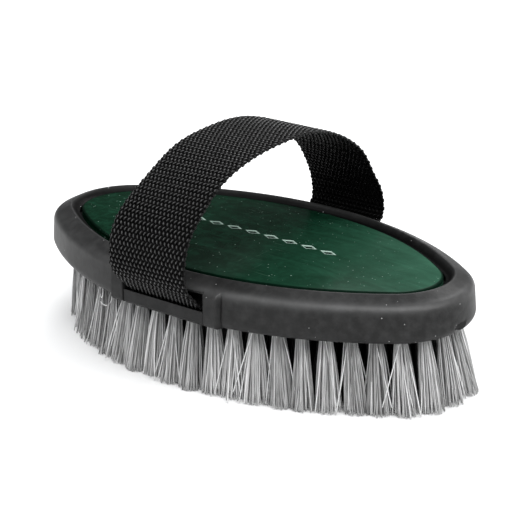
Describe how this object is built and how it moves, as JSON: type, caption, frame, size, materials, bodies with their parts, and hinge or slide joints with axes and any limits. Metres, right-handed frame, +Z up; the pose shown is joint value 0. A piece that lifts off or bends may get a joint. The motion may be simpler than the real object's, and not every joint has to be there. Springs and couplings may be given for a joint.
{
  "type": "oval body brush",
  "caption": "Oval grooming brush: leaning bristle tufts in a drilled block, a soft-grip rim, a domed back plate and a webbing hand strap that leans from side to side.",
  "frame": {"origin": "under the middle of the brush, in the plane of the bristle tips that it stands on", "axes": "+X along the brush, +Y across it towards the far strap clamp, +Z up from the bristles to the strap"},
  "size_m": [0.2106, 0.1306, 0.0944],
  "materials": {
    "block_plastic": "moulded black plastic",
    "soft_rubber": "matte soft-touch rubber",
    "green_plate": "glossy dark green plastic",
    "clamp_plastic": "matte moulded plastic",
    "webbing": "coarse woven webbing",
    "bristle": "grey synthetic filament",
    "bristle_black": "black synthetic filament",
    "anchor_steel": "bright flat wire"
  },
  "bodies": {
    "brush": {"core_block": "block_plastic", "rubber_rim": "soft_rubber", "back_plate": "green_plate", "strap_clamp_near": "clamp_plastic", "strap_clamp_far": "clamp_plastic", "strap_end_near": "webbing", "strap_end_far": "webbing", "tufts_ring_1": "bristle", "tufts_ring_2": "bristle_black", "tufts_ring_3": "bristle_black", "tufts_ring_4": "bristle_black", "tufts_ring_5": "bristle_black", "anchors_ring_1": "anchor_steel", "anchors_ring_2": "anchor_steel", "anchors_ring_3": "anchor_steel", "anchors_ring_4": "anchor_steel", "anchors_ring_5": "anchor_steel"},
    "strap_near": {"strap_leg_near": "webbing"},
    "strap_top": {"strap_crown": "webbing"},
    "strap_far": {"strap_leg_far": "webbing"}
  },
  "joints": [
    {"name": "strap_lean", "type": "hinge", "parent": "brush", "child": "strap_near", "pos_m": [0, -0.0553, 0.03757], "axis": [1, 0, 0], "range_deg": [-15, 15], "stiffness_Nm_per_rad": 0.3},
    {"name": "near_shoulder", "type": "hinge", "parent": "strap_near", "child": "strap_top", "pos_m": [0, -0.0612, 0.0641], "axis": [1, 0, 0], "range_deg": [-14, 14]},
    {"name": "far_shoulder", "type": "hinge", "parent": "strap_top", "child": "strap_far", "pos_m": [0, 0.0612, 0.0641], "axis": [1, 0, 0], "range_deg": [-14, 14]}
  ],
  "couplings": [
    {"joint": "near_shoulder", "follows": "strap_lean", "ratio": -0.9044},
    {"joint": "far_shoulder", "follows": "strap_lean", "ratio": 0.9044}
  ]
}
